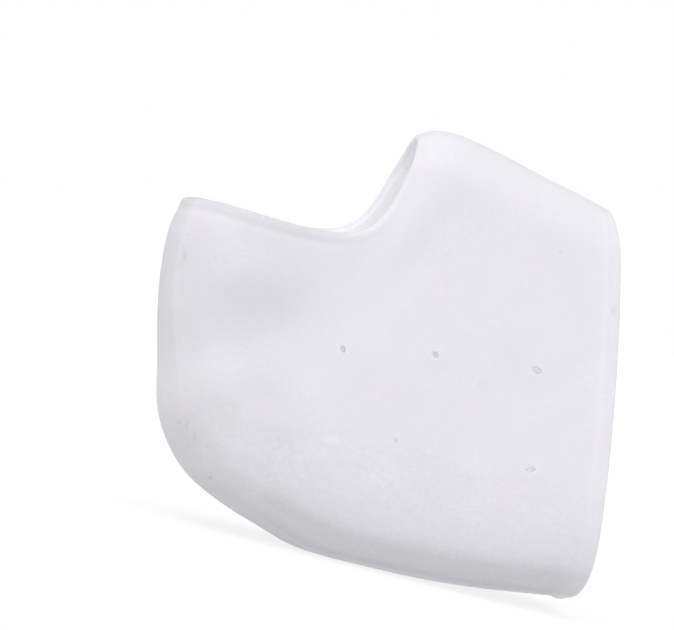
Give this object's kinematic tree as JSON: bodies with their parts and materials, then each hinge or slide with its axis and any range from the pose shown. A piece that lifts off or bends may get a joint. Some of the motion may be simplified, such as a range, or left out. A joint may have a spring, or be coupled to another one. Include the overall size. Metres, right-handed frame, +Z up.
{
  "type": "silicone heel sleeve",
  "caption": "Open moulded silicone sleeve worn over the heel, with an ankle opening, a foot opening, a thicker heel and sole wall and small vent holes in its sides.",
  "frame": {"origin": "on the floor under the middle of the sleeve's length and width, where it stands on its sole", "axes": "+X towards the toes and out of the foot opening, +Z up towards the ankle opening, Y across the foot"},
  "size_m": [0.1042, 0.048, 0.0944],
  "materials": {
    "silicone": "satin, translucent white"
  },
  "bodies": {
    "root": {"heel_sleeve": "silicone"}
  },
  "joints": []
}
